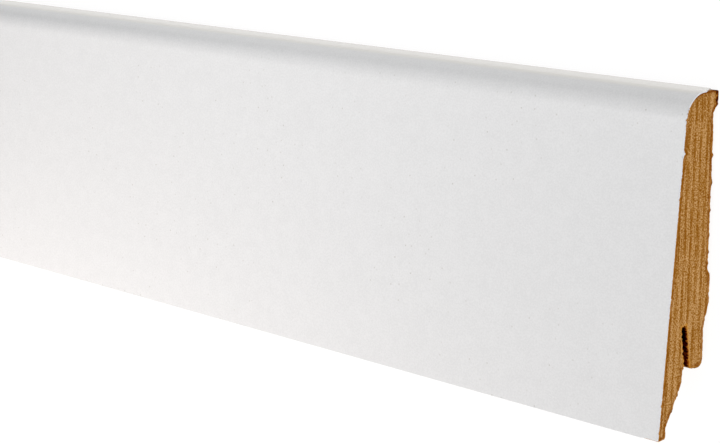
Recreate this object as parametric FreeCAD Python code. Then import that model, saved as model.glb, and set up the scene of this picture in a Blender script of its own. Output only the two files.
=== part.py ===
"""A length of foil-wrapped MDF skirting board, lying on its back with the white face up.

Frame, in millimetres: +X runs along the board, +Y across it from the toe to the top edge, +Z up from
the wall side to the front face. The origin is the centre of the board's underside, which is the
plane that a wall takes when the board is fixed.

The section is drawn as (height, depth): height above the toe, and depth out from the wall plane.
"""

import FreeCAD, Part

import math
import os

# Stock size
board_length = 2400.0
board_height = 80.0
base_depth = 19.0  # wall plane to front face, at the toe
top_depth = 12.0  # wall plane to the line of the front face, at the top edge
nose_radius = 7.0  # rounded front edge at the top

# White foil, wrapped over the front, the rounded edge and the top
foil_thickness = 0.3

# Lip along the top of the back, which closes against the wall
lip_height = 3.4
lip_ramp = 1.8  # height over which the lip runs out into the relief
arris_radius = 0.5
foil_stop = arris_radius  # depth at which the foil is trimmed, where the lip's arris starts

# Shallow relief milled out of the back, between the lip and the clip block
relief_depth = 1.6  # wall plane to the floor of the relief
relief_radius = 1.5

# Clip block: a pad that stands just short of the wall, a waist under it and a rounded heel
pad_from_wall = 0.6
pad_top = 36.6
pad_height = 6.6
pad_ramp = 1.1
waist_height = 23.8
waist_depth = 2.5
heel_depth = 2.2
heel_radius = 2.0
underside_height = 14.6  # above the toe, at the heel
underside_rise = 1.05  # how much higher the underside meets the front wall

# Slot that takes the fixing clip, opening downwards in the underside
slot_width = 2.0
slot_depth = 10.5
slot_from_wall = 8.4  # wall plane to the middle of the mouth
slot_lean = 9.0  # degrees that the slot leans towards the front face as it goes up

# Front wall and toe, below the clip block
front_wall_depth = 10.35  # wall plane to the back of the front wall
front_wall_foot = 12.4  # height at which its back starts to slope out to the toe
front_wall_radius = 1.5
ledge_radius = 0.5  # hollow corner between the underside and the front wall
toe_thickness = 3.0
toe_height = 3.0
toe_radius = 1.5
toe_chamfer = 0.5


def point(height, depth):
    """A point of the section, at the board's left end, in the board's frame."""
    return FreeCAD.Vector(-board_length / 2, height - board_height / 2, depth)


def rounded_edges(corners, closed=True):
    """Edges of straight runs joined by tangent arcs. Each corner is (height, depth, radius)."""
    places = [point(height, depth) for height, depth, radius in corners]
    count = len(corners)
    starts, ends = [], []
    middles = []
    for i, (height, depth, radius) in enumerate(corners):
        here = places[i]
        at_end = not closed and i in (0, count - 1)
        if radius == 0 or at_end:
            starts.append(here)
            ends.append(here)
            middles.append(None)
            continue
        back = (places[i - 1] - here).normalize()
        ahead = (places[(i + 1) % count] - here).normalize()
        half = math.acos(max(-1.0, min(1.0, back.dot(ahead)))) / 2
        reach = radius / math.tan(half)
        inward = (back + ahead).normalize()
        starts.append(here + back * reach)
        ends.append(here + ahead * reach)
        middles.append(here + inward * (radius / math.sin(half) - radius))
    edges = []
    for i in range(count):
        if middles[i] is not None:
            edges.append(Part.Arc(starts[i], middles[i], ends[i]).toShape())
        if i < count - 1 or closed:
            edges.append(Part.makeLine(ends[i], starts[(i + 1) % count]))
    return edges


def front_depth(height):
    """Depth of the finished front face at a height, on its straight slope."""
    return base_depth + (top_depth - base_depth) * height / board_height


def wrap_path(inset, stop):
    """Corners of the finished front and top, moved inwards by inset and ending at depth stop."""
    slope = (base_depth - top_depth) / board_height
    shift = inset * math.sqrt(1 + slope * slope)
    top = board_height - inset
    return [
        (0.0, front_depth(0.0) - shift, 0.0),
        (top, front_depth(top) - shift, nose_radius - inset),
        (top, stop, 0.0),
    ]


def foil():
    """The white foil: a thin band from the toe's edge, up the front, round the nose and over the top."""
    outside = rounded_edges(wrap_path(0.0, foil_stop), closed=False)
    inside = rounded_edges(wrap_path(foil_thickness, foil_stop), closed=False)
    first_outside, last_outside = outside[0].Vertexes[0].Point, outside[-1].Vertexes[-1].Point
    first_inside, last_inside = inside[0].Vertexes[0].Point, inside[-1].Vertexes[-1].Point
    ends = [
        Part.makeLine(last_outside, last_inside),
        Part.makeLine(first_inside, first_outside),
    ]
    section = Part.Face(Part.Wire(Part.__sortEdges__(outside + inside + ends)))
    return section.extrude(FreeCAD.Vector(board_length, 0, 0))


def underside_at(depth):
    """Height of the clip block's underside at a depth; it rises from the heel to the front wall."""
    share = (depth - heel_depth) / (front_wall_depth - heel_depth)
    return underside_height + underside_rise * share


def back_corners():
    """Corners of the back of the section, from the foil's end at the top down to the toe."""
    core_top = board_height - foil_thickness
    lip_foot = board_height - lip_height
    toe_back = base_depth - toe_thickness
    return [
        (core_top, 0.0, arris_radius),
        (lip_foot, 0.0, arris_radius),
        (lip_foot - lip_ramp, relief_depth, relief_radius),
        (pad_top + pad_ramp, relief_depth, arris_radius),
        (pad_top, pad_from_wall, arris_radius),
        (pad_top - pad_height, pad_from_wall, relief_radius),
        (waist_height, waist_depth, relief_radius),
        (underside_at(heel_depth), heel_depth, heel_radius),
        (underside_at(front_wall_depth), front_wall_depth, ledge_radius),
        (front_wall_foot, front_wall_depth, front_wall_radius),
        (toe_height, toe_back, toe_radius),
        (toe_chamfer, toe_back, 0.0),
        (0.0, toe_back + toe_chamfer, 0.0),
    ]


def clip_slot():
    """The slot as a cutter: a leaning slab from just below the mouth up to its closed end."""
    lean = math.radians(slot_lean)
    overrun = slot_width / 2  # how far the cutter starts below the underside
    up = FreeCAD.Vector(0, math.cos(lean), math.sin(lean))
    across = FreeCAD.Vector(0, -math.sin(lean), math.cos(lean))
    mouth = point(underside_at(slot_from_wall), slot_from_wall)
    corners = [
        mouth - up * overrun - across * (slot_width / 2),
        mouth + up * slot_depth - across * (slot_width / 2),
        mouth + up * slot_depth + across * (slot_width / 2),
        mouth - up * overrun + across * (slot_width / 2),
    ]
    section = Part.Face(Part.makePolygon(corners + corners[:1]))
    return section.extrude(FreeCAD.Vector(board_length, 0, 0))


def core():
    """The MDF core: the section behind the foil, with the clip slot milled up into its block."""
    front = wrap_path(foil_thickness, foil_stop)[:2]
    section = Part.Face(Part.Wire(rounded_edges(front + back_corners())))
    board = section.extrude(FreeCAD.Vector(board_length, 0, 0))
    return board.cut(clip_slot())


def main():
    os.makedirs("parts", exist_ok=True)
    for name, shape in (("mdf_core", core()), ("white_foil", foil())):
        solid = shape.removeSplitter().Solids[0]
        solid.exportStep(f"parts/{name}.step")
        print(name, "valid", solid.isValid(), "volume cm3", round(solid.Volume / 1000, 1))


main()
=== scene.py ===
"""Dresses a length of foil-wrapped MDF skirting board, which lies on its back with the white face up.

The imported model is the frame: +X runs along the board, +Y from the toe to the top edge, +Z from the wall
plane out to the white face. The section is drawn as (height, depth), with height above the toe and depth
out from the wall plane. Sizes are in metres, except in the tables below, which say what they hold.
"""

import math

import bmesh
import bpy
from bpy.props import FloatProperty, FloatVectorProperty, IntProperty, PointerProperty
from mathutils import Matrix, Vector, kdtree, noise


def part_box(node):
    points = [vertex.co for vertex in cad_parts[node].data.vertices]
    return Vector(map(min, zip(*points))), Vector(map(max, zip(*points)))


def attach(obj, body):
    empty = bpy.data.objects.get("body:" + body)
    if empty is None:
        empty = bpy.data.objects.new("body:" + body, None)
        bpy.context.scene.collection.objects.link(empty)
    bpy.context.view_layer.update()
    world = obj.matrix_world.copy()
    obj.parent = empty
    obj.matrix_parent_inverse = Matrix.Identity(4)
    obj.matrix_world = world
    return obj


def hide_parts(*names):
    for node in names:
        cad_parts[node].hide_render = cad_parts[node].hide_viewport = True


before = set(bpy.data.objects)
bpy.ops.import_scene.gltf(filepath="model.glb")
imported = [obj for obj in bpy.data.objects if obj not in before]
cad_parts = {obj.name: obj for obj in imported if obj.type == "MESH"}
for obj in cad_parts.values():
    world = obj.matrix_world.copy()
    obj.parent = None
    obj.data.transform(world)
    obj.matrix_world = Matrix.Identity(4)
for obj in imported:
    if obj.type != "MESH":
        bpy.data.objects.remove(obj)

bl_info = {
    "name": "Skirting board length",
    "version": (1, 0, 0),
    "blender": (4, 5, 0),
    "location": "View3D > Sidebar > Skirting",
    "description": "Builds the wrapped skirting board and its studio around the packed model",
    "category": "Object",
}

MM = 0.001
ROUNDING = 1e-6  # metres, far below any real size
Y_AXIS, Z_AXIS = 1, 2

# Cross-cuts of the meshes, in millimetres from each end
CROSS_CUTS = (0.12, 0.25, 0.4, 0.6, 0.85, 1.2, 1.7, 2.5, 3.4, 4.8, 8.0, 20.0, 60.0, 180.0, 500.0)

# Torn tufts down the back edge: height above the toe, half length, how far out (all in millimetres)
TUFTS = (
    (76.9, 0.6, 0.32),
    (73.7, 1.5, -0.22),
    (70.2, 0.4, 0.2),
    (68.3, 0.9, 0.14),
    (64.8, 0.4, 0.56),
    (61.2, 0.3, 0.24),
    (58.5, 0.95, 0.5),
    (55.0, 0.3, 0.18),
    (52.0, 0.4, 0.34),
    (49.1, 0.25, 0.2),
    (46.0, 0.5, 0.34),
    (42.0, 0.35, 0.38),
    (39.4, 0.3, 0.24),
    (14.8, 0.7, 0.18),
)

# Chips in the foil's cut edge: height above the toe, half length, how deep (all in millimetres)
FOIL_CHIPS = (
    (76.4, 0.25, 0.2),
    (75.5, 0.25, 0.22),
    (74.1, 0.4, 0.18),
    (72.9, 0.2, 0.1),
    (65.9, 0.22, 0.3),
    (56.2, 0.3, 0.12),
    (31.4, 0.25, 0.1),
    (8.4, 0.3, 0.14),
    (2.0, 0.4, 0.12),
)

# White burrs of foil on the sawn face: height above the toe, half length, reach (all in millimetres)
FOIL_BURRS = (
    (66.4, 0.35, 0.75),
    (33.2, 0.3, 0.4),
)

# Patterns in the bare board: cells per metre along X, Y and Z, then detail and roughness
PATTERNS = {
    "layer wander": ((40, 130, 300), 2, 0.5),
    "layer patches": ((100, 330, 800), 3, 0.6),
    "fine fibres": ((1200, 2300, 3300), 2, 0.6),
    "long fibres": ((350, 90, 1500), 2, 0.55),
    "milled fuzz": ((450, 1500, 1500), 3, 0.6),
    "cutter marks": ((6, 900, 900), 2, 0.5),
    "ragged edge": ((300, 1500, 1100), 2, 0.6),
    "patchy edge": ((100, 420, 420), 2, 0.5),
    "slot fringe": ((300, 2400, 900), 2, 0.6),
    # Patches of painted light on the slot's walls
    "slot lit patches": ((700, 1100, 900), 1, 0.5),
    "torn fibres": ((700, 900, 1500), 2, 0.6),
}

# Flecks in the sawn face: cells per metre along X, Y and Z, how rare they are (0 to 1), and their strength
FLECKS = {
    "light": ((1100, 800, 1500), 0.82, 0.5),
    "dark": ((900, 640, 1500), 0.84, 0.85),
    "pale": ((800, 900, 1300), 0.94, 0.8),
    "deep brown": ((700, 1000, 1100), 0.93, 0.8),
}

# Tints of the lights
WHITE = (1, 1, 1)
CREAM = (1, 0.96, 0.88)
WARM = (1, 0.9, 0.84)
SKY_TINT = (0.962, 0.967, 0.984, 1)

# Panels and lamps: name, place and aim in metres with X from the right end, width, length, watts, tint,
# and whether the foil's gloss shows it
PANELS = (
    ("end_panel", (0.9, 0.1, 0.35), (0, 0, 0), 0.5, 0.5, 1.9, WHITE, True),
    ("long_panel", (-1.55, 0, 0.35), (-1.55, 0, 0), 1.7, 0.3, 1.05, CREAM, False),
    ("toe_lamp", (-0.21, -0.233, 0.224), (-0.27, -0.336, 0), 0.1, 0.1, 1.24, WARM, False),
    ("top_lamp", (-0.154, 0.077, 0.252), (-0.08, 0.3, 0), 0.1, 0.1, 0.175, WHITE, False),
)
FILM_WIDTH = 36  # millimetres, for the focal length
NEAREST_SEEN = 0.01  # metres from the camera
FLOOR_SIZE = 20.0  # metres

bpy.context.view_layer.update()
CORE_LOW, CORE_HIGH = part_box("mdf_core")
FOIL_LOW, FOIL_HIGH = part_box("white_foil")
HALF_LENGTH = CORE_HIGH.x


def length(name, description, default, **more):
    """A property that holds a length in metres."""
    return FloatProperty(
        name=name, description=description, default=default, unit="LENGTH", precision=5, **more
    )


def colour(name, description, default):
    """A property that holds a linear colour."""
    return FloatVectorProperty(
        name=name, description=description, default=default, subtype="COLOR", min=0, max=1
    )


def angle(name, description, degrees):
    """A property that holds an angle, given here in degrees."""
    return FloatProperty(
        name=name, description=description, default=math.radians(degrees), subtype="ANGLE"
    )


def light_strength(name, description, default):
    """A property that holds the strength of a light."""
    return FloatProperty(name=name, description=description, default=default, min=0)


class SectionSizes(bpy.types.PropertyGroup):
    """Sizes of the board's section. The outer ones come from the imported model."""

    board_length: length("Length", "Length of the board", CORE_HIGH.x - CORE_LOW.x)
    board_height: length("Height", "Toe to top edge", FOIL_HIGH.y - FOIL_LOW.y)
    base_depth: length("Depth at the toe", "Wall plane to front face", FOIL_HIGH.z - CORE_LOW.z)
    top_depth: length("Depth at the top", "Wall plane to the line of the front face", 12 * MM)
    nose_radius: length("Nose radius", "Rounded front edge at the top", 7 * MM)
    foil_thickness: length("Foil thickness", "Thickness of the decor foil", FOIL_HIGH.y - CORE_HIGH.y)
    foil_stop: length("Foil stop", "Depth at which the foil ends on the top", FOIL_LOW.z)
    lip_height: length("Lip height", "Lip along the top of the back", 3.4 * MM)
    lip_ramp: length("Lip ramp", "Height over which the lip runs out", 1.8 * MM)
    arris_radius: length("Arris radius", "Small rounding on the milled edges", 0.5 * MM)
    relief_depth: length("Relief depth", "Wall plane to the floor of the relief", 1.6 * MM)
    relief_radius: length("Relief radius", "Soft corners of the relief", 1.5 * MM)
    pad_from_wall: length("Pad gap", "Wall plane to the pad", 0.6 * MM)
    pad_top: length("Pad top", "Height of the pad's upper edge", 36.6 * MM)
    pad_height: length("Pad height", "Height of the pad itself", 6.6 * MM)
    pad_ramp: length("Pad ramp", "Height over which the relief rises to the pad", 1.1 * MM)
    waist_height: length("Waist height", "Height of the waist in the back", 23.8 * MM)
    waist_depth: length("Waist depth", "Wall plane to the waist", 2.5 * MM)
    heel_depth: length("Heel depth", "Wall plane to the heel", 2.2 * MM)
    heel_radius: length("Heel radius", "Rounded lower edge of the clip block", 2 * MM)
    underside_height: length("Underside height", "Height of the underside at the heel", 14.6 * MM)
    underside_rise: length("Underside rise", "How much higher it meets the front wall", 1.05 * MM)
    slot_width: length("Slot width", "Width of the clip slot", 2 * MM)
    slot_depth: length("Slot depth", "Depth of the clip slot", 10.5 * MM)
    slot_from_wall: length("Slot place", "Wall plane to the middle of the mouth", 8.4 * MM)
    slot_lean: angle("Slot lean", "Lean towards the front", 9)
    front_wall_depth: length("Front wall depth", "Wall plane to the back of the front wall", 10.35 * MM)
    front_wall_foot: length("Front wall foot", "Height at which its back starts to slope", 12.4 * MM)
    front_wall_radius: length("Front wall radius", "Bend in the back of the front wall", 1.5 * MM)
    ledge_radius: length("Ledge radius", "Hollow corner beside the slot", 0.5 * MM)
    toe_thickness: length("Toe thickness", "Thickness of the toe", 3 * MM)
    toe_height: length("Toe height", "Height of the toe's upright back", 3 * MM)
    toe_radius: length("Toe radius", "Hollow corner above the toe", 1.5 * MM)
    toe_chamfer: length("Toe chamfer", "Worn corner under the toe", 0.5 * MM)


class CutSizes(bpy.types.PropertyGroup):
    """Sizes of the saw-cut ends and their torn edges."""

    grid: length("Grid", "Spacing of the fine cuts across the section", 0.3 * MM)
    reach: length("Reach", "How far the tearing reaches in from the end", 0.9 * MM)
    fibre_relief: length("Fibre relief", "How rough the saw left the end face", 0.12 * MM)
    fuzz: length("Fuzz", "Fine fibres along the back edge", 0.26 * MM)
    teeth: length("Teeth", "Torn teeth down the back of the front wall", 0.34 * MM)
    chip: length("Chip", "How deep the bare arrises are chipped", 0.14 * MM)
    foil_wave: length("Foil wave", "How uneven the foil's cut edge is", 0.05 * MM)
    toe_rub: length("Toe rub", "How far the foil is worn up from the toe's edge near the ends", 0.2 * MM)
    top_chip: length("Top chip", "How far the foil broke back from the end on the top", 2.1 * MM)
    slot_wave: length("Slot wave", "How ragged the slot's edges are", 0.48 * MM)
    top_chip_depth: length("Top chip depth", "Wall plane to where that chip starts", 4.7 * MM)
    arc_segments: IntProperty(name="Arc segments", description="Segments of a small arc", default=5, min=2)
    nose_segments: IntProperty(name="Nose segments", description="Segments of the nose", default=28, min=6)


class Finishes(bpy.types.PropertyGroup):
    """Colours of the finishes."""

    foil: colour("Foil", "White decor foil", (0.8, 0.8, 0.8))
    speck: colour("Speck", "Specks in the foil", (0.38, 0.35, 0.29))
    # Painted light: a warm cream tint on the top face, for the light it catches
    painted_top_light: colour("Foil on top", "Foil stretched over the top edge", (0.83, 0.8, 0.75))
    foil_edge: colour("Foil edge", "Cut edge of the foil", (0.75, 0.76, 0.78))
    board_dark: colour("Board dark", "Dark fibres of the board", (0.25, 0.082, 0.003))
    board_mid: colour("Board middle", "Most fibres of the board", (0.41, 0.19, 0.035))
    board_light: colour("Board light", "Light fibres of the board", (0.63, 0.365, 0.155))
    rim: colour("Rim", "Edge of the board along its outline", (0.22, 0.058, 0.001))
    pale: colour("Pale", "Rare pale fibres of the board", (0.8, 0.62, 0.42))
    gold: colour("Gold", "Thin outermost line of the sawn face", (0.5, 0.22, 0.035))
    fringe: colour("Fringe", "Bright fibres round the slot's edge", (0.56, 0.26, 0.045))
    # Painted shade and light on the slot's walls: lit at the cut, shaded red to black deeper in
    slot_wall_lit: colour("Glow", "Slot walls at the cut", (0.47, 0.16, 0.012))
    slot_wall_shaded: colour("Ember", "Slot walls just behind the cut", (0.22, 0.035, 0.001))
    slot_wall_darker: colour("Dull red", "Slot walls further in, and at the mouth", (0.085, 0.002, 0.0006))
    # Nearly black colours for the lip's tip and the torn tufts
    torn_dark: colour("Scorch", "Scorched and torn fibres", (0.04, 0.003, 0.0004))
    torn_darkest: colour("Soot", "Darkest torn fibres", (0.014, 0.0008, 0.0003))
    # Painted shade deep in the slot
    char: colour("Char", "Slot walls deep inside", (0.003, 0.0005, 0.0004))
    floor: colour("Floor", "Studio floor", (0.12, 0.12, 0.12))


class StudioSettings(bpy.types.PropertyGroup):
    """Camera and lights."""

    focal_length: FloatProperty(name="Focal length", description="Lens in millimetres", default=95.97, min=1)
    turn: angle("Turn", "Camera's turn round the board", 44.554)
    dip: angle("Dip", "Camera's dip towards the toe", 12.512)
    beyond_end: length("Beyond end", "Camera beyond the board's right end", 0.24574)
    above_middle: length("Above middle", "Camera above the middle of the height", 0.10516)
    out_from_wall: length("Out from wall", "Camera out from the wall plane", 0.3661)
    sky: light_strength("Sky", "Strength of the even light", 0.366)
    key: light_strength("Key", "Strength of the soft light from above", 1.33)
    key_softness: angle("Key softness", "How wide that light is in the sky", 40)
    key_tilt: angle("Key tilt", "Tilt of that light towards the toe", 26.8)
    key_turn: angle("Key turn", "Turn of that light to the right", 10)
    floor_glow: light_strength("Floor glow", "Light that the floor gives by itself", 0.92)


def place(sizes, height, depth):
    """A point of the section at the board's left end."""
    return Vector((-sizes.board_length / 2, height - sizes.board_height / 2, depth))


def front_depth(sizes, height):
    """Depth of the finished front face at a height."""
    return sizes.base_depth + (sizes.top_depth - sizes.base_depth) * height / sizes.board_height


def underside_at(sizes, depth):
    """Height of the clip block's underside at a depth."""
    share = (depth - sizes.heel_depth) / (sizes.front_wall_depth - sizes.heel_depth)
    return sizes.underside_height + sizes.underside_rise * share


def wrap_corners(sizes, inset):
    """Corners of the front and top, moved in by inset: (height, depth, radius)."""
    slope = (sizes.base_depth - sizes.top_depth) / sizes.board_height
    shift = inset * math.hypot(1, slope)
    top = sizes.board_height - inset
    return [
        (0.0, front_depth(sizes, 0) - shift, 0.0),
        (top, front_depth(sizes, top) - shift, sizes.nose_radius - inset),
        (top, sizes.foil_stop, 0.0),
    ]


def slot_corners(sizes):
    """Corners of the clip slot, from the heel side of its mouth round to the front side."""
    lean = Vector((math.cos(sizes.slot_lean), math.sin(sizes.slot_lean)))
    across = Vector((-lean.y, lean.x)) * sizes.slot_width / 2
    mouth = Vector((underside_at(sizes, sizes.slot_from_wall), sizes.slot_from_wall))
    corners = []
    for side in (-1, 1):
        edge = mouth + across * side
        run = (underside_at(sizes, edge.y) - edge.x) / lean.x  # along the wall, down to the underside
        corners.append([edge + lean * run, edge + lean * sizes.slot_depth])
    (heel_mouth, heel_end), (front_mouth, front_end) = corners
    return [(p.x, p.y, 0.0) for p in (heel_mouth, heel_end, front_end, front_mouth)]


def core_corners(sizes):
    """Corners of the bare core, from the toe up the front, over the top and down the back."""
    core_top = sizes.board_height - sizes.foil_thickness
    lip_foot = sizes.board_height - sizes.lip_height
    toe_back = sizes.base_depth - sizes.toe_thickness
    front = wrap_corners(sizes, sizes.foil_thickness)[:2]
    back = [
        (core_top, 0.0, sizes.arris_radius),
        (lip_foot, 0.0, sizes.arris_radius),
        (lip_foot - sizes.lip_ramp, sizes.relief_depth, sizes.relief_radius),
        (sizes.pad_top + sizes.pad_ramp, sizes.relief_depth, sizes.arris_radius),
        (sizes.pad_top, sizes.pad_from_wall, sizes.arris_radius),
        (sizes.pad_top - sizes.pad_height, sizes.pad_from_wall, sizes.relief_radius),
        (sizes.waist_height, sizes.waist_depth, sizes.relief_radius),
        (underside_at(sizes, sizes.heel_depth), sizes.heel_depth, sizes.heel_radius),
        *slot_corners(sizes),
        (underside_at(sizes, sizes.front_wall_depth), sizes.front_wall_depth, sizes.ledge_radius),
        (sizes.front_wall_foot, sizes.front_wall_depth, sizes.front_wall_radius),
        (sizes.toe_height, toe_back, sizes.toe_radius),
        (sizes.toe_chamfer, toe_back, 0.0),
        (0.0, toe_back + sizes.toe_chamfer, 0.0),
    ]
    return front + back


def round_corner(bm, vert, radius, segments):
    """Rounds one corner of a flat outline."""
    ways = [(edge.other_vert(vert).co - vert.co).normalized() for edge in vert.link_edges]
    reach = radius / math.tan(ways[0].angle(ways[1]) / 2)
    bmesh.ops.bevel(
        bm,
        geom=[vert],
        offset=reach,
        offset_type="ABSOLUTE",
        segments=segments,
        profile=0.5,
        affect="VERTICES",
        material=-1,
    )


def cut_fine(bm, axis, low, high, step):
    """Cuts the whole mesh square to an axis, every step from low to high."""
    snap = step / 20  # a corner nearer than this takes the cut
    normal = Vector((0, 0, 0))
    normal[axis] = 1
    count = int((high - low) / step)
    for i in range(1, count + 1):
        at = Vector((0, 0, 0))
        at[axis] = low + i * (high - low) / (count + 1)
        everything = bm.verts[:] + bm.edges[:] + bm.faces[:]
        bmesh.ops.bisect_plane(bm, geom=everything, dist=snap, plane_co=at, plane_no=normal)


def stations(board_length):
    """Distances from the left end to each cross-cut: close together at both ends."""
    near = [value * MM for value in CROSS_CUTS]
    far = [board_length - value for value in reversed(near)]
    return near + [board_length / 2] + far + [board_length]


def pull_out(bm, faces, board_length):
    """Extrudes the faces along the board, station by station."""
    done = 0.0
    for station in stations(board_length):
        made = bmesh.ops.extrude_face_region(bm, geom=faces)["geom"]
        if done > 0:
            bmesh.ops.delete(bm, geom=faces, context="FACES")  # no wall stays inside the board
        verts = [part for part in made if isinstance(part, bmesh.types.BMVert)]
        faces = [part for part in made if isinstance(part, bmesh.types.BMFace)]
        bmesh.ops.translate(bm, verts=verts, vec=(station - done, 0, 0))
        done = station


def soft_step(low, high, value):
    """0 up to low, 1 from high on, and smooth between."""
    share = min(1.0, max(0.0, (value - low) / (high - low)))
    return share * share * (3 - 2 * share)


def fall_off(distance, width):
    """1 at an edge, and less and less away from it."""
    return math.exp(-distance / width)


def hump(height, middle, half, far):
    """How far a smooth hump stands out at a height. Its place and size are in millimetres."""
    share = (height / MM - middle) / half
    return far * MM * math.exp(-share * share)


def ridge(point, size, seed):
    """Noise from about -1 to 1 with features of the given size."""
    return noise.noise(point / size + Vector((seed, 2 * seed, -seed)))


def finish_mesh(bm, name, sharp_from):
    """Makes the object of a bmesh, smooth except at edges that bend by more than an angle."""
    bmesh.ops.recalc_face_normals(bm, faces=bm.faces)
    for face in bm.faces:
        face.smooth = True
    mesh = bpy.data.meshes.new(name)
    bm.to_mesh(mesh)
    bm.free()
    mesh.set_sharp_from_angle(angle=sharp_from)
    piece = bpy.data.objects.new(name, mesh)
    bpy.context.collection.objects.link(piece)
    return piece


def outline_tree(points):
    """A search tree over points of the section."""
    tree = kdtree.KDTree(len(points))
    for i, point in enumerate(points):
        tree.insert(Vector((0, point.y, point.z)), i)
    tree.balance()
    return tree


def core_section(bm, sizes, cut):
    """The core's section as one flat face with rounded corners."""
    corners = core_corners(sizes)
    verts = [bm.verts.new(place(sizes, height, depth)) for height, depth, radius in corners]
    bm.faces.new(verts)
    for vert, (height, depth, radius) in zip(verts, corners):
        if radius > 0:
            is_nose = radius > sizes.nose_radius / 2
            round_corner(bm, vert, radius, cut.nose_segments if is_nose else cut.arc_segments)


def is_wrapped(sizes, point):
    """Whether a point of the core's outline lies against the foil."""
    height = point.y + sizes.board_height / 2
    slack = 0.02 * MM
    if height > sizes.board_height - sizes.foil_thickness - slack:
        return point.z > sizes.foil_stop
    behind_foil = front_depth(sizes, height) - 1.05 * sizes.foil_thickness - slack
    nose_start = sizes.board_height - 1.2 * sizes.nose_radius
    back_reach = 3.5 * MM  # beside the nose, the back lies nearer to the wall than this
    return point.z > behind_foil or (height > nose_start and point.z > back_reach)


def in_slot(sizes, point):
    """Whether a point of the core's outline lies on the slot's walls."""
    mouth = place(sizes, underside_at(sizes, sizes.slot_from_wall), sizes.slot_from_wall)
    offset = point - mouth
    up = offset.y * math.cos(sizes.slot_lean) + offset.z * math.sin(sizes.slot_lean)
    across = -offset.y * math.sin(sizes.slot_lean) + offset.z * math.cos(sizes.slot_lean)
    slack = 0.05 * MM
    return -2 * slack < up < sizes.slot_depth + slack and abs(across) < sizes.slot_width / 2 + slack


def rim_finders(bm, sizes):
    """For each kind of edge on the section's outline, a search tree and the ways out of the board."""
    left_end = -sizes.board_length / 2
    kinds = {"back": [], "slot": [], "wrap": []}
    for vert in bm.verts:
        sideways = Vector((0, vert.normal.y, vert.normal.z))
        inside_face = sideways.length < 0.2  # the outline's corners lean outwards, others face the end
        if vert.co.x > left_end + ROUNDING or inside_face:
            continue
        kind = "wrap" if is_wrapped(sizes, vert.co) else "slot" if in_slot(sizes, vert.co) else "back"
        kinds[kind].append((vert.co.copy(), sideways.normalized()))
    finders = {}
    for kind, rim in kinds.items():
        points, ways = zip(*rim)
        finders[kind] = (outline_tree(points), ways)
    return finders


def end_place(sizes, point):
    """The nearer end (1 right, -1 left), how far off it is, the place on its face, and the height."""
    half = sizes.board_length / 2
    side = 1 if point.x > 0 else -1
    flat = Vector((side * half, point.y, point.z))
    return side, half - abs(point.x), flat, point.y + sizes.board_height / 2


def sawn_back(cut, flat, gap):
    """How far back the saw left a place of the end face: uneven fibres, and chips along the bare edges."""
    fibre_length = 2.4  # fibres are this much longer up the board than through it
    along = Vector((flat.x, flat.y / fibre_length, flat.z))
    rough = 0.5 + 0.3 * ridge(along, 0.5 * MM, 3) + 0.2 * ridge(along, 1.5 * MM, 7)
    calm = 1 - 0.8 * fall_off(min(gap["back"], gap["wrap"]), 0.4 * MM)
    back_chips = soft_step(0.35, 0.7, ridge(flat, 1.3 * MM, 11)) * fall_off(gap["back"], 0.3 * MM)
    slot_chips = soft_step(-0.2, 0.5, ridge(flat, 0.6 * MM, 13)) * fall_off(gap["slot"], 0.25 * MM)
    return rough * cut.fibre_relief * calm + cut.chip * (back_chips + slot_chips)


def torn_out(cut, flat, height):
    """How far fibres stand out of the back edge at a place. Below zero it is broken away."""
    out = cut.fuzz * (0.6 * ridge(flat, 0.55 * MM, 19) + 0.4 * ridge(flat, 1.3 * MM, 41))
    uneven = 1 + 0.4 * ridge(flat, 0.5 * MM, 17)
    for tuft in TUFTS:
        out += hump(height, *tuft) * uneven
    # Teeth run down the sloping back of the front wall
    sloping = soft_step(4 * MM, 5.5 * MM, height) * soft_step(12.2 * MM, 11 * MM, height)
    out += cut.teeth * sloping * soft_step(-0.1, 0.5, ridge(flat, 0.6 * MM, 23))
    return out


def tear_ends(bm, sizes, cut):
    """Roughens both sawn ends of the core, and stores the millimetres to each kind of edge and the tufts."""
    bm.normal_update()
    finders = rim_finders(bm, sizes)
    for name in ("to_back", "to_slot", "to_wrap", "tuft"):
        bm.verts.layers.float.new(name)
    to_edge = {kind: bm.verts.layers.float["to_" + kind] for kind in finders}
    tuft = bm.verts.layers.float["tuft"]
    edge_width = 0.3 * MM
    slot_opening = 0.02 * MM  # each wall stands this much further back at the cut
    farthest = 3.0  # millimetres stored at most
    for vert in bm.verts:
        side, end, flat, height = end_place(sizes, vert.co)
        on_section = Vector((0, vert.co.y, vert.co.z))
        found = {kind: tree.find(on_section) for kind, (tree, ways) in finders.items()}
        gap = {kind: hit[2] for kind, hit in found.items()}
        nearest = min(gap, key=gap.get)
        way = finders[nearest][1][found[nearest][1]]
        back = sawn_back(cut, flat, gap)
        # Fibres stand out along the back, and the slot's walls are ragged
        out = 0.0
        if nearest == "back":
            out = torn_out(cut, flat, height)
        elif nearest == "slot":
            out = cut.slot_wave * ridge(flat, 0.6 * MM, 29) - slot_opening
        near_end = fall_off(end, cut.reach)
        near_edge = fall_off(gap[nearest], edge_width) * near_end
        vert.co += way * out * near_edge
        vert.co.x -= side * back * near_end
        vert.co.y = min(max(vert.co.y, FOIL_LOW.y), FOIL_HIGH.y)
        vert.co.z = min(max(vert.co.z, CORE_LOW.z), FOIL_HIGH.z)
        for burr in FOIL_BURRS:
            gap["wrap"] -= hump(height, *burr)
        for kind in gap:
            vert[to_edge[kind]] = min(gap[kind] / MM, farthest)
        vert[tuft] = soft_step(0.08 * MM, 0.3 * MM, out) * near_edge if nearest == "back" else 0.0


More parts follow.
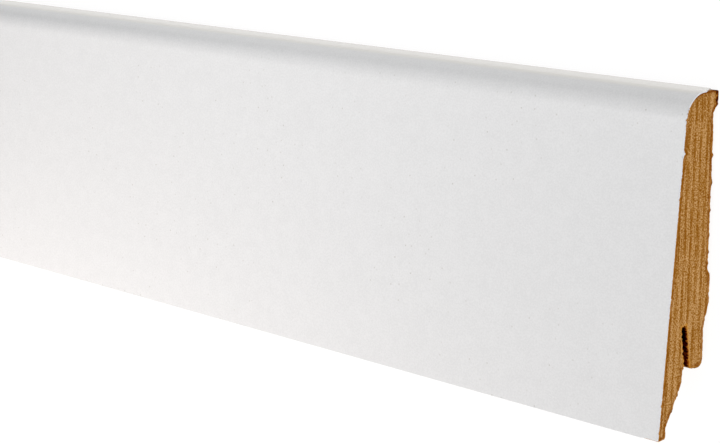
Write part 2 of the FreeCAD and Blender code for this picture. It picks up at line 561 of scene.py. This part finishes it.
def build_core(sizes, cut):
    """The MDF core, with rough saw-cut ends."""
    bm = bmesh.new()
    core_section(bm, sizes, cut)
    half_height = sizes.board_height / 2
    cut_fine(bm, Y_AXIS, -half_height, half_height, cut.grid)
    cut_fine(bm, Z_AXIS, 0.0, sizes.base_depth, cut.grid)
    pull_out(bm, bm.faces[:], sizes.board_length)
    bmesh.ops.recalc_face_normals(bm, faces=bm.faces)
    tear_ends(bm, sizes, cut)
    return finish_mesh(bm, "mdf_length", sharp_from=math.radians(48))


def foil_strip(bm, sizes, cut):
    """The foil's outer line across the section, as a chain of short edges."""
    corners = wrap_corners(sizes, 0.0)
    verts = [bm.verts.new(place(sizes, height, depth)) for height, depth, radius in corners]
    for first, second in zip(verts, verts[1:]):
        bm.edges.new((first, second))
    round_corner(bm, verts[1], corners[1][2], cut.nose_segments)
    half_height = sizes.board_height / 2
    cut_fine(bm, Y_AXIS, -half_height, half_height, 0.5 * cut.grid)
    cut_fine(bm, Z_AXIS, 0.0, front_depth(sizes, sizes.board_height), 0.8 * cut.grid)


def pull_strip(bm, sizes):
    """Extrudes the chain of edges along the board, station by station."""
    edges = bm.edges[:]
    done = 0.0
    for station in stations(sizes.board_length):
        made = bmesh.ops.extrude_edge_only(bm, edges=edges)["geom"]
        verts = [part for part in made if isinstance(part, bmesh.types.BMVert)]
        edges = [part for part in made if isinstance(part, bmesh.types.BMEdge)]
        bmesh.ops.translate(bm, verts=verts, vec=(station - done, 0, 0))
        done = station


def nick_foil(bm, sizes, cut):
    """Nicks the foil's cut edges and stores how near each vertex is to them."""
    near_cut = bm.verts.layers.float.new("cut")
    top_band = sizes.board_height - 1.5 * sizes.foil_thickness
    rubbed_band = 0.6 * MM  # up from the toe's edge
    edge_width = 0.12 * MM
    for vert in bm.verts:
        side, end, flat, height = end_place(sizes, vert.co)
        back = cut.foil_wave * (0.5 + 0.5 * ridge(flat, 0.9 * MM, 37))
        for chip in FOIL_CHIPS:
            back += hump(height, *chip)
        vert.co.x -= side * back * fall_off(end, cut.reach)
        near_end = soft_step(4.9 * MM, 3.3 * MM, end)
        vert.co.y += cut.toe_rub * near_end * soft_step(rubbed_band, 0.0, height)
        if height > top_band and vert.co.z < cut.top_chip_depth:
            share = 1 - vert.co.z / cut.top_chip_depth
            broken = cut.top_chip * share * (1 + 0.25 * ridge(flat, 0.8 * MM, 53))
            vert.co.x -= side * broken * fall_off(end, 3 * cut.top_chip)
        vert[near_cut] = fall_off(end, edge_width)


def build_foil(sizes, cut):
    """The white foil: a thin band from the toe, up the front, round the nose and over the top."""
    bm = bmesh.new()
    foil_strip(bm, sizes, cut)
    pull_strip(bm, sizes)
    bmesh.ops.recalc_face_normals(bm, faces=bm.faces)
    front = max(bm.faces, key=lambda face: face.calc_area())
    if front.normal.z < 0:
        bmesh.ops.reverse_faces(bm, faces=bm.faces)
    bmesh.ops.solidify(bm, geom=bm.faces[:], thickness=sizes.foil_thickness)
    for vert in bm.verts:
        vert.co.y = max(vert.co.y, FOIL_LOW.y)  # the toe's edge is cut level, not square to the face
    bmesh.ops.recalc_face_normals(bm, faces=bm.faces)
    nick_foil(bm, sizes, cut)
    return finish_mesh(bm, "foil_wrap", sharp_from=math.radians(40))


def full(shade, scale=1.0):
    """A colour with its alpha, made lighter or darker by the scale."""
    return (shade[0] * scale, shade[1] * scale, shade[2] * scale, 1.0)


class Tree:
    """A short way to add and join a material's nodes. Values may be numbers or sockets."""

    def __init__(self, name):
        self.material = bpy.data.materials.new(name)
        self.material.use_nodes = True
        self.nodes = self.material.node_tree.nodes
        self.links = self.material.node_tree.links
        self.shader = self.nodes["Principled BSDF"]
        self.object_space = self.nodes.new("ShaderNodeTexCoord").outputs["Object"]

    def put(self, socket, value):
        """Sets a socket to a number or colour, or joins it to another socket."""
        if isinstance(value, bpy.types.NodeSocket):
            self.links.new(value, socket)
        else:
            socket.default_value = value

    def math(self, operation, first, second=0.0, clamp=False):
        """One sum on two values."""
        node = self.nodes.new("ShaderNodeMath")
        node.operation = operation
        node.use_clamp = clamp
        self.put(node.inputs[0], first)
        self.put(node.inputs[1], second)
        return node.outputs[0]

    def plus(self, first, second):
        """Two values added up."""
        return self.math("ADD", first, second)

    def minus(self, first, second, clamp=False):
        """The second value taken from the first."""
        return self.math("SUBTRACT", first, second, clamp)

    def times(self, first, *others):
        """Two or more values multiplied."""
        for other in others:
            first = self.math("MULTIPLY", first, other)
        return first

    def attribute(self, name):
        """A number stored on the mesh."""
        node = self.nodes.new("ShaderNodeAttribute")
        node.attribute_name = name
        return node.outputs["Fac"]

    def axes(self):
        """Object coordinates, one by one."""
        node = self.nodes.new("ShaderNodeSeparateXYZ")
        self.links.new(self.object_space, node.inputs[0])
        return node.outputs

    def stretched(self, cells):
        """Object coordinates in cells per metre along each axis."""
        node = self.nodes.new("ShaderNodeMapping")
        node.inputs["Scale"].default_value = cells
        self.links.new(self.object_space, node.inputs["Vector"])
        return node.outputs["Vector"]

    def noise(self, vector, scale, detail=2.0, roughness=0.5):
        """Soft noise, about 0.3 to 0.7."""
        node = self.nodes.new("ShaderNodeTexNoise")
        node.inputs["Scale"].default_value = scale
        node.inputs["Detail"].default_value = detail
        node.inputs["Roughness"].default_value = roughness
        self.links.new(vector, node.inputs["Vector"])
        return node.outputs["Fac"]

    def pattern(self, name):
        """One of the noise patterns named at the top."""
        cells, detail, roughness = PATTERNS[name]
        return self.noise(self.stretched(cells), 1.0, detail, roughness)

    def spots(self, vector, dimensions="3D"):
        """Distance to the nearest of scattered points, and a random number for each."""
        node = self.nodes.new("ShaderNodeTexVoronoi")
        node.voronoi_dimensions = dimensions
        node.inputs["Scale"].default_value = 1
        self.links.new(vector, node.inputs["Vector"])
        return node.outputs["Distance"], node.outputs["Color"]

    def flecks(self, name):
        """Scattered small flecks, named at the top: 0 between them and up to their strength in each."""
        cells, rarity, strength = FLECKS[name]
        distance, random = self.spots(self.stretched(cells))
        inside = self.remap(distance, 0.34, 0.12)
        return self.times(inside, self.remap(random, rarity, rarity + 0.04), strength)

    def remap(self, value, low, high, to_low=0.0, to_high=1.0):
        """A value carried smoothly from one range to another. The ranges may run down."""
        node = self.nodes.new("ShaderNodeMapRange")
        node.interpolation_type = "SMOOTHSTEP"
        self.put(node.inputs["Value"], value)
        for name, number in zip(("From Min", "From Max", "To Min", "To Max"), (low, high, to_low, to_high)):
            node.inputs[name].default_value = number
        return node.outputs["Result"]

    def between(self, share, first, second):
        """A value that goes from the first number to the second as the share goes from 0 to 1."""
        return self.remap(share, 0.0, 1.0, first, second)

    def blend(self, share, first, second):
        """The first value at share 0, and the second at 1."""
        node = self.nodes.new("ShaderNodeMix")
        self.put(node.inputs[0], share)
        self.put(node.inputs[2], first)
        self.put(node.inputs[3], second)
        return node.outputs[0]

    def mix(self, share, first, second):
        """The first colour at share 0, and the second at 1."""
        node = self.nodes.new("ShaderNodeMix")
        node.data_type = "RGBA"
        self.put(node.inputs[0], share)
        self.put(node.inputs[6], first)
        self.put(node.inputs[7], second)
        return node.outputs[2]

    def ramp(self, value, places, shades):
        """Colours that follow a value, each at its place from 0 to 1."""
        node = self.nodes.new("ShaderNodeValToRGB")
        elements = node.color_ramp.elements
        while len(elements) < len(places):
            elements.new(0.5)
        for element, at, shade in zip(elements, places, shades):
            element.position = at
            element.color = full(shade)
        self.put(node.inputs["Fac"], value)
        return node.outputs["Color"]

    def bump(self, height, strength, distance):
        """Fine relief in the shading."""
        node = self.nodes.new("ShaderNodeBump")
        node.inputs["Strength"].default_value = strength
        node.inputs["Distance"].default_value = distance
        self.links.new(height, node.inputs["Height"])
        self.links.new(node.outputs["Normal"], self.shader.inputs["Normal"])


class BoardTree(Tree):
    """The bare board's nodes, with the values that its colours share."""

    def __init__(self, finishes):
        super().__init__("bare_fibreboard")
        self.finishes = finishes
        x, self.y, self.z = self.axes()
        self.from_end = self.minus(HALF_LENGTH, self.math("ABSOLUTE", x))
        self.cut = self.remap(self.from_end, 0.9 * MM, 0.35 * MM)  # 1 on the sawn faces
        self.fibres = self.plus(
            self.times(self.pattern("fine fibres"), 0.72),
            self.times(self.pattern("long fibres"), 0.28),
        )
        self.ragged = self.minus(self.pattern("ragged edge"), 0.5)

    def layers(self):
        """Pressed layers, which show at the cut as darker streaks, nearly square to the depth."""
        spacing = 2.4 * MM
        start = 1.0 * MM  # from the wall plane
        lean = 0.012
        leaning = self.plus(self.z, self.times(self.y, lean))
        wander = self.times(self.minus(self.pattern("layer wander"), 0.5), 0.9 * MM)
        phase = self.times(self.minus(self.plus(leaning, wander), start), 2 * math.pi / spacing)
        waves = self.math("SINE", phase)
        patches = self.remap(self.pattern("layer patches"), 0.34, 0.6, 0.25, 1.25)
        return self.times(self.remap(waves, -0.3, 1.0), patches)

    def sawn(self):
        """Tone of the sawn faces, from 0 dark to 1 light."""
        tone = self.minus(self.remap(self.fibres, 0.37, 0.6), self.times(self.layers(), 0.42))
        # Painted light: the sawn face is made lighter towards the toe, for light that falls off across it
        tone = self.plus(tone, self.remap(self.y, 14 * MM, -14 * MM, 0.0, 0.085))  # lighter towards the toe
        tone = self.plus(tone, self.flecks("light"))
        return self.minus(tone, self.flecks("dark"), clamp=True)

    def milled(self):
        """Tone of the milled faces: short fuzzy fibres, and faint marks of the cutter along the board."""
        fuzz = self.times(self.pattern("milled fuzz"), 0.75)
        tone = self.plus(fuzz, self.times(self.pattern("cutter marks"), 0.25))
        return self.remap(tone, 0.3, 0.7, 0.3, 0.72)

    def fibreboard(self):
        """Colour of the plain board."""
        colours = self.finishes
        tone = self.blend(self.cut, self.milled(), self.sawn())
        base = self.ramp(tone, (0.0, 0.5, 1.0), (colours.board_dark, colours.board_mid, colours.board_light))
        base = self.mix(self.times(self.flecks("pale"), self.cut), base, full(colours.pale))
        return self.mix(self.times(self.flecks("deep brown"), self.cut), base, full(colours.rim))

    def line_outline(self, base):
        """Adds the outline: a dark patchy line, a thin bright one, and a little of the foil's white."""
        colours = self.finishes
        to_wrap = self.attribute("to_wrap")
        patchy = self.remap(self.pattern("patchy edge"), 0.35, 0.6)
        below_nose = self.remap(self.y, 37.5 * MM, 35.5 * MM)
        upper_front = self.times(self.remap(self.y, 12 * MM, 24 * MM), below_nose)
        upper_back = self.remap(self.y, 18 * MM, 25 * MM)
        top_edge = self.remap(self.y, 37.6 * MM, 39 * MM)
        from_wrap = self.plus(to_wrap, self.times(self.ragged, 1.1))
        from_wrap = self.minus(from_wrap, self.times(upper_front, 0.1))
        from_back = self.plus(self.attribute("to_back"), self.times(self.ragged, 0.9))
        # Dark lines, along the foil first and then along the back and the top
        front_rim = self.times(self.remap(from_wrap, 1.2, 0.8), self.between(patchy, 0.5, 1.0))
        front_rim = self.times(front_rim, self.remap(self.y, 29 * MM, 34 * MM, 1.0, 0.3))
        base = self.mix(self.times(front_rim, self.cut), base, full(colours.board_dark))
        back_rim = self.times(self.remap(from_back, 1.1, 0.7), self.between(patchy, 0.4, 1.0))
        back_rim = self.times(back_rim, self.between(upper_back, 0.7, 1.0))
        top_rim = self.times(self.remap(to_wrap, 0.5, 0.1), top_edge)
        rims = self.math("MAXIMUM", back_rim, top_rim)
        base = self.mix(self.times(rims, self.cut), base, full(colours.rim))
        # Thin bright lines at the very edge
        back_line = self.times(self.remap(from_back, 0.4, 0.2), self.between(patchy, 0.95, 0.6))
        front_line = self.remap(self.plus(from_wrap, top_edge), 0.4, 0.2, 0.0, 0.85)
        front_line = self.times(front_line, self.between(upper_front, 1.0, 0.5))
        lines = self.math("MAXIMUM", back_line, front_line)
        base = self.mix(self.times(lines, self.cut), base, full(colours.gold))
        smear = self.times(self.remap(from_wrap, 0.0, -0.1), self.cut, self.minus(1.0, top_edge))
        return self.mix(smear, base, full(colours.foil_edge))

    def fringe_and_shade_slot(self, base):
        """Adds bright fibres round the slot, and paints shade on its walls, red to black deeper in, with
        painted light that keeps them redder by the mouth.
        """
        colours = self.finishes
        to_slot = self.attribute("to_slot")
        uneven = self.minus(self.pattern("slot fringe"), 0.5)
        fringe = self.remap(self.plus(to_slot, self.times(uneven, 1.6)), 0.65, 0.25, 0.0, 0.9)
        base = self.mix(self.times(fringe, self.cut), base, full(colours.fringe))
        depth = self.plus(self.from_end, self.times(uneven, 2.4 * MM))
        # Painted light: lighter patches on the slot's walls, more of them towards the mouth where light comes
        # in
        mouth_lit_patches = self.remap(self.pattern("slot lit patches"), 0.42, 0.58, 0.0, 0.7)
        mouth_lit_patches = self.times(mouth_lit_patches, self.remap(self.y, -14 * MM, -22 * MM, 0.25, 0.7))
        # Painted shade: the walls go darker the deeper they lie behind the cut
        slot_shading = self.minus(self.remap(depth, -0.1 * MM, 0.85 * MM), mouth_lit_patches)
        slot_shading = self.minus(slot_shading, self.remap(self.y, -19 * MM, -22 * MM, 0.0, 0.25), clamp=True)
        shades = (colours.slot_wall_lit, colours.slot_wall_shaded, colours.slot_wall_darker, colours.char)
        walls = self.ramp(slot_shading, (0.0, 0.25, 0.55, 0.9), shades)
        on_walls = self.times(self.remap(to_slot, 0.16, 0.02), self.remap(self.from_end, 6 * MM, 2.8 * MM))
        return self.mix(on_walls, base, walls)

    def darken_tip_and_tufts(self, base):
        """Turns the lip's tip and the torn tufts nearly black, with a few brown fibres."""
        colours = self.finishes
        tip = self.remap(self.plus(self.z, self.times(self.ragged, 1.0 * MM)), 1.3 * MM, 0.85 * MM)
        lip = self.remap(self.plus(self.y, self.times(self.ragged, 2 * MM)), 35.7 * MM, 36.3 * MM)
        tip = self.times(tip, lip, self.remap(self.from_end, 2.5 * MM, 1.2 * MM))
        torn = self.math("MAXIMUM", tip, self.times(self.attribute("tuft"), 0.8))
        shades = (colours.torn_darkest, colours.torn_dark, colours.rim, colours.gold)
        fibres = self.ramp(self.pattern("torn fibres"), (0.3, 0.43, 0.54, 0.66), shades)
        return self.mix(torn, base, fibres)


def board_material(finishes):
    """Bare MDF: layered and fibrous where it is sawn, finer along the milled faces, dark where it tore."""
    tree = BoardTree(finishes)
    base = tree.fibreboard()
    base = tree.line_outline(base)
    base = tree.fringe_and_shade_slot(base)
    base = tree.darken_tip_and_tufts(base)
    tree.put(tree.shader.inputs["Base Color"], base)
    tree.shader.inputs["Roughness"].default_value = 0.9
    tree.shader.inputs["Specular IOR Level"].default_value = 0.02
    tree.bump(tree.fibres, strength=0.6, distance=0.2 * MM)
    return tree.material


def foil_material(finishes):
    """Satin white foil with a faint mottle, a paper-like skin and a few specks."""
    tree = Tree("white_decor_foil")
    y = tree.axes()["Y"]
    mottle = tree.noise(tree.object_space, scale=260, detail=3)
    grain = tree.noise(tree.object_space, scale=2200, detail=1)
    tone = tree.plus(tree.times(mottle, 0.3), tree.times(grain, 0.7))
    shade = tree.mix(tree.remap(tone, 0.3, 0.7), full(finishes.foil, 0.962), full(finishes.foil, 1.03))
    # Painted light: the top face gets a warm cream tint for the light it catches
    shade = tree.mix(tree.remap(y, 39.3 * MM, 39.9 * MM), shade, full(finishes.painted_top_light))
    # Small specks gather in places, and there are none on the rounded edge
    distance, random = tree.spots(tree.stretched((280, 280, 280)), "2D")
    gathered = tree.remap(tree.noise(tree.object_space, scale=35, detail=1), 0.46, 0.6)
    below_nose = tree.remap(y, 38 * MM, 36 * MM)
    speck = tree.times(tree.remap(distance, 0.085, 0.03), tree.remap(random, 0.35, 1.0), gathered, below_nose)
    shade = tree.mix(tree.times(speck, 0.45), shade, full(finishes.speck))
    shade = tree.mix(tree.attribute("cut"), shade, full(finishes.foil_edge))
    tree.put(tree.shader.inputs["Base Color"], shade)
    tree.put(tree.shader.inputs["Roughness"], tree.remap(mottle, 0.2, 0.8, 0.2, 0.25))
    tree.shader.inputs["Specular IOR Level"].default_value = 0.5
    skin = tree.noise(tree.object_space, scale=1400, detail=2)
    tree.bump(skin, strength=0.1, distance=0.03 * MM)
    return tree.material


def dress(piece, material, node):
    """Gives a piece its material, hangs it under the root body, and hides the imported part it replaces."""
    piece.data.materials.append(material)
    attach(piece, "root")
    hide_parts(node)


def build_floor(finishes, studio):
    """A plain floor that glows white, like a lit studio table."""
    bm = bmesh.new()
    bmesh.ops.create_grid(bm, x_segments=1, y_segments=1, size=FLOOR_SIZE)
    floor = finish_mesh(bm, "studio_floor", sharp_from=math.radians(30))
    tree = Tree("pale_floor")
    tree.shader.inputs["Base Color"].default_value = full(finishes.floor)
    tree.shader.inputs["Roughness"].default_value = 0.9
    tree.shader.inputs["Specular IOR Level"].default_value = 0.0
    tree.shader.inputs["Emission Color"].default_value = full(WHITE)
    tree.shader.inputs["Emission Strength"].default_value = studio.floor_glow
    floor.data.materials.append(tree.material)


def add_panel_light(name, place_at, aim, width, tall, watts, tint, shows_in_gloss):
    """A soft rectangular light that points at a place."""
    lamp = bpy.data.lights.new(name, "AREA")
    lamp.shape = "RECTANGLE"
    lamp.size = width
    lamp.size_y = tall
    lamp.energy = watts
    lamp.color = tint
    light = bpy.data.objects.new(name, lamp)
    light.location = place_at
    light.rotation_mode = "QUATERNION"
    light.rotation_quaternion = (place_at - aim).to_track_quat("Z", "Y")
    light.visible_camera = False
    light.visible_glossy = shows_in_gloss
    bpy.context.collection.objects.link(light)


def add_camera(sizes, studio):
    """The camera at the photograph's place, beyond the right end and above the face."""
    turn, dip = studio.turn, studio.dip
    view = Vector((-math.sin(turn) * math.cos(dip), -math.sin(dip), -math.cos(turn) * math.cos(dip)))
    up = Vector((-math.sin(turn) * math.sin(dip), math.cos(dip), -math.cos(turn) * math.sin(dip)))
    right = view.cross(up)
    lens = bpy.data.cameras.new("photo_camera")
    lens.lens = studio.focal_length
    lens.sensor_width = FILM_WIDTH
    lens.clip_start = NEAREST_SEEN
    camera = bpy.data.objects.new("photo_camera", lens)
    camera.rotation_mode = "QUATERNION"
    camera.rotation_quaternion = Matrix((right, up, -view)).transposed().to_quaternion()
    camera.location = (sizes.board_length / 2 + studio.beyond_end, studio.above_middle, studio.out_from_wall)
    bpy.context.collection.objects.link(camera)
    bpy.context.scene.camera = camera


def add_lights(sizes, studio):
    """An even sky, a soft key light from above, and the panels and lamps named at the top."""
    scene = bpy.context.scene
    world = bpy.data.worlds.new("studio_sky")
    world.use_nodes = True
    sky = world.node_tree.nodes["Background"]
    sky.inputs["Color"].default_value = SKY_TINT
    sky.inputs["Strength"].default_value = studio.sky
    scene.world = world
    scene.view_settings.view_transform = "Standard"
    right_end = Vector((sizes.board_length / 2, 0, 0))
    for name, place_at, aim, width, tall, watts, tint, shows_in_gloss in PANELS:
        place_at, aim = right_end + Vector(place_at), right_end + Vector(aim)
        add_panel_light(name, place_at, aim, width, tall, watts, tint, shows_in_gloss)
    key = bpy.data.objects.new("key_light", bpy.data.lights.new("key_light", "SUN"))
    key.data.energy = studio.key
    key.data.angle = studio.key_softness
    key.location = (0, 0, 1)
    key.rotation_euler = (studio.key_tilt, studio.key_turn, 0)
    bpy.context.collection.objects.link(key)


class SKIRTING_OT_core(bpy.types.Operator):
    """Build the MDF core with its sawn ends"""

    bl_idname = "skirting.core"
    bl_label = "MDF core"

    def execute(self, context):
        scene = context.scene
        core = build_core(scene.skirting_section, scene.skirting_cut)
        dress(core, board_material(scene.skirting_finishes), "mdf_core")
        return {"FINISHED"}


class SKIRTING_OT_foil(bpy.types.Operator):
    """Build the white foil that wraps the front and top"""

    bl_idname = "skirting.foil"
    bl_label = "White foil"

    def execute(self, context):
        scene = context.scene
        foil = build_foil(scene.skirting_section, scene.skirting_cut)
        dress(foil, foil_material(scene.skirting_finishes), "white_foil")
        return {"FINISHED"}


class SKIRTING_OT_stage(bpy.types.Operator):
    """Build the floor, the lights and the camera"""

    bl_idname = "skirting.stage"
    bl_label = "Studio"

    def execute(self, context):
        scene = context.scene
        build_floor(scene.skirting_finishes, scene.skirting_studio)
        add_lights(scene.skirting_section, scene.skirting_studio)
        add_camera(scene.skirting_section, scene.skirting_studio)
        return {"FINISHED"}


OPERATORS = (SKIRTING_OT_core, SKIRTING_OT_foil, SKIRTING_OT_stage)


class SKIRTING_PT_panel(bpy.types.Panel):
    """Lists the pieces of the skirting board"""

    bl_idname = "SKIRTING_PT_panel"
    bl_label = "Skirting board"
    bl_space_type = "VIEW_3D"
    bl_region_type = "UI"
    bl_category = "Skirting"

    def draw(self, context):
        for operator in OPERATORS:
            self.layout.operator(operator.bl_idname)


GROUPS = {
    "skirting_section": SectionSizes,
    "skirting_cut": CutSizes,
    "skirting_finishes": Finishes,
    "skirting_studio": StudioSettings,
}


def register():
    """Adds the settings, the operators and the panel."""
    for name, group in GROUPS.items():
        bpy.utils.register_class(group)
        setattr(bpy.types.Scene, name, PointerProperty(type=group))
    for kind in (*OPERATORS, SKIRTING_PT_panel):
        bpy.utils.register_class(kind)


def unregister():
    """Takes them away again."""
    for kind in (SKIRTING_PT_panel, *reversed(OPERATORS)):
        bpy.utils.unregister_class(kind)
    for name, group in reversed(GROUPS.items()):
        delattr(bpy.types.Scene, name)
        bpy.utils.unregister_class(group)


def main():
    """Builds both pieces and the studio."""
    register()
    bpy.ops.skirting.core()
    bpy.ops.skirting.foil()
    bpy.ops.skirting.stage()


if __name__ == "__main__":
    main()
